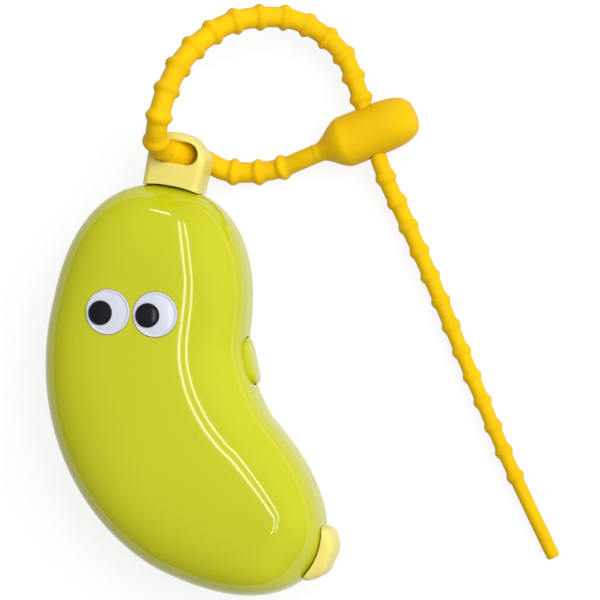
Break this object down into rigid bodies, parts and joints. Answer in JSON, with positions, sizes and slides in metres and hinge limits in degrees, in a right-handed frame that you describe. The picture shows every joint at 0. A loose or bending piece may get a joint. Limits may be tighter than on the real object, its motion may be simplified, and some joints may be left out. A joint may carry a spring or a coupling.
{
  "type": "clamshell case",
  "caption": "Banana-shaped hard clamshell case with googly eyes, side push-button latch, stem with a strap slot and a beaded silicone strap threaded through its own head.",
  "frame": {"origin": "on the case's flat back, under the middle of the bend", "axes": "+Z out of the front through the eyes, +Y towards the stem, +X to the right, where the latch button and the tip are"},
  "size_m": [0.1127, 0.1305, 0.0301],
  "materials": {
    "lime_plastic": "high gloss moulded",
    "button_plastic": "gloss moulded",
    "cream_plastic": "satin moulded",
    "eye_white": "gloss",
    "eye_black": "gloss",
    "steel": "plain",
    "silicone": "matt silicone"
  },
  "bodies": {
    "base": {"rear_shell": "lime_plastic", "hinge_pin": "steel", "latch_spring": "steel", "latch_bracket": "lime_plastic", "bracket_screws": "steel", "stem_cap": "cream_plastic", "stem_screw": "steel", "tip_cap": "cream_plastic", "tip_screw": "steel", "strap_lead": "silicone", "strap_head": "silicone", "strap_tail": "silicone"},
    "lid": {"front_shell": "lime_plastic", "left_eye": "eye_white", "left_pupil": "eye_black", "right_eye": "eye_white", "right_pupil": "eye_black"},
    "button": {"latch_button": "button_plastic"}
  },
  "joints": [
    {"name": "lid_hinge", "type": "hinge", "parent": "base", "child": "lid", "pos_m": [-0.01681, -0.01483, 0.013], "axis": [0.508, -0.8614, 0], "range_deg": [0, 110]},
    {"name": "button_press", "type": "slide", "parent": "base", "child": "button", "axis": [-0.9772, -0.2123, 0], "range_m": [0, 0.0012], "stiffness_N_per_m": 400, "springref_m": -0.001, "deforming": ["latch_spring"]}
  ]
}
